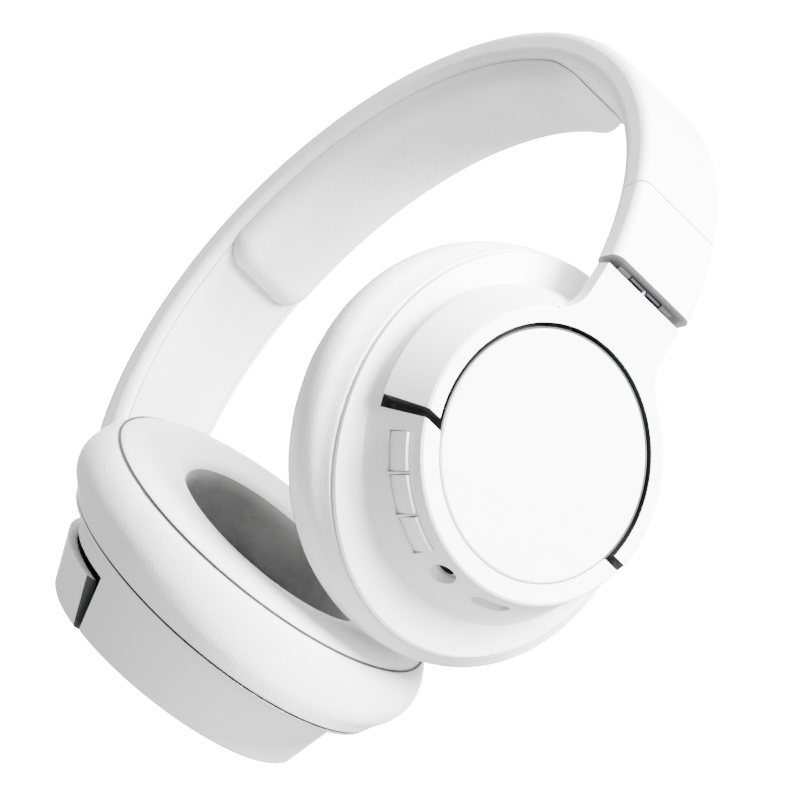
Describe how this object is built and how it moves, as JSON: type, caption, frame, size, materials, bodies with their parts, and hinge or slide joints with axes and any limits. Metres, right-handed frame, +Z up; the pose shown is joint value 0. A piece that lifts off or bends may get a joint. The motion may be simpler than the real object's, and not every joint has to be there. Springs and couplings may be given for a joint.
{
  "type": "over ear headphones",
  "caption": "White folding over ear headphones with sliding arms, swivelling yokes, round capped cups and soft oval ear cushions.",
  "frame": {"origin": "middle of the underside of the headband cushion, where the headphones rest on a head or a stand", "axes": "+X towards the wearer's right cup, +Y away from the side of the headband that faces the front of the row, +Z up through the top of the headband"},
  "size_m": [0.151, 0.09, 0.1739],
  "materials": {
    "shell": "satin white moulded plastic",
    "shell_edge": "satin pale grey moulded plastic",
    "cushion": "soft white leatherette over foam",
    "steel": "brushed",
    "inner_plastic": "matte black",
    "cloth": "fine grey acoustic cloth",
    "film": "thin polymer film",
    "board": "solder mask",
    "cell": "battery sleeve"
  },
  "bodies": {
    "headband": {"band_outer_shell": "shell", "band_inner_shell": "shell_edge", "band_spring": "steel", "band_cushion": "cushion"},
    "right_slider": {"slider_strip_right": "steel", "slider_housing_right": "shell", "slider_cover_right": "shell_edge", "fold_pin_right": "steel"},
    "right_knuckle": {"fold_knuckle_right": "steel", "swivel_clip_right": "steel"},
    "right_yoke": {"yoke_right": "shell", "yoke_cover_right": "shell_edge", "yoke_screws_right": "steel", "tilt_pins_right": "steel"},
    "right_cup": {"cup_shell_right": "shell", "cap_right": "shell", "baffle_right": "inner_plastic", "driver_frame_right": "inner_plastic", "magnet_right": "steel", "diaphragm_right": "film", "speaker_cloth_right": "cloth", "cushion_plate_right": "shell_edge", "ear_cushion_right": "cushion", "cup_screws_right": "steel", "circuit_board": "board", "audio_jack": "inner_plastic", "charging_port": "steel", "microphone": "steel"},
    "left_slider": {"slider_strip_left": "steel", "slider_housing_left": "shell", "slider_cover_left": "shell_edge", "fold_pin_left": "steel"},
    "left_knuckle": {"fold_knuckle_left": "steel", "swivel_clip_left": "steel"},
    "left_yoke": {"yoke_left": "shell", "yoke_cover_left": "shell_edge", "yoke_screws_left": "steel", "tilt_pins_left": "steel"},
    "left_cup": {"cup_shell_left": "shell", "cap_left": "shell", "baffle_left": "inner_plastic", "driver_frame_left": "inner_plastic", "magnet_left": "steel", "diaphragm_left": "film", "speaker_cloth_left": "cloth", "cushion_plate_left": "shell_edge", "ear_cushion_left": "cushion", "cup_screws_left": "steel", "battery": "cell"},
    "power_button_body": {"power_button": "shell"},
    "volume_down_button_body": {"volume_down_button": "shell"},
    "volume_up_button_body": {"volume_up_button": "shell"}
  },
  "joints": [
    {"name": "right_slide", "type": "slide", "parent": "headband", "child": "right_slider", "axis": [0.0698, 0, -0.9976], "range_m": [0, 0.016]},
    {"name": "right_fold", "type": "hinge", "parent": "right_slider", "child": "right_knuckle", "pos_m": [0.06768, 0, -0.08747], "axis": [0, 1, 0], "range_deg": [-16, 0]},
    {"name": "right_swivel", "type": "hinge", "parent": "right_knuckle", "child": "right_yoke", "pos_m": [0.06768, 0, -0.08747], "axis": [0.5446, 0, 0.8387], "range_deg": [-20, 20]},
    {"name": "right_tilt", "type": "hinge", "parent": "right_yoke", "child": "right_cup", "pos_m": [0.03998, 0, -0.12075], "axis": [0, -1, 0], "range_deg": [0, 8]},
    {"name": "left_slide", "type": "slide", "parent": "headband", "child": "left_slider", "axis": [-0.0698, 0, -0.9976], "range_m": [0, 0.016]},
    {"name": "left_fold", "type": "hinge", "parent": "left_slider", "child": "left_knuckle", "pos_m": [-0.06768, 0, -0.08747], "axis": [0, 1, 0], "range_deg": [0, 5]},
    {"name": "left_swivel", "type": "hinge", "parent": "left_knuckle", "child": "left_yoke", "pos_m": [-0.06768, 0, -0.08747], "axis": [-0.3827, 0, 0.9239], "range_deg": [0, 27]},
    {"name": "left_tilt", "type": "hinge", "parent": "left_yoke", "child": "left_cup", "pos_m": [-0.04662, -0.00106, -0.12529], "axis": [0.1921, 0.9781, 0.0796], "range_deg": [0, 8]},
    {"name": "power_button_press", "type": "slide", "parent": "right_cup", "child": "power_button_body", "axis": [0.3201, 0.809, 0.493], "range_m": [0, 0.0005], "stiffness_N_per_m": 1200, "springref_m": -0.0005},
    {"name": "volume_down_button_press", "type": "slide", "parent": "right_cup", "child": "volume_down_button_body", "axis": [0.4292, 0.6157, 0.6609], "range_m": [0, 0.0005], "stiffness_N_per_m": 1200, "springref_m": -0.0005},
    {"name": "volume_up_button_press", "type": "slide", "parent": "right_cup", "child": "volume_up_button_body", "axis": [0.505, 0.3746, 0.7776], "range_m": [0, 0.0005], "stiffness_N_per_m": 1200, "springref_m": -0.0005}
  ]
}
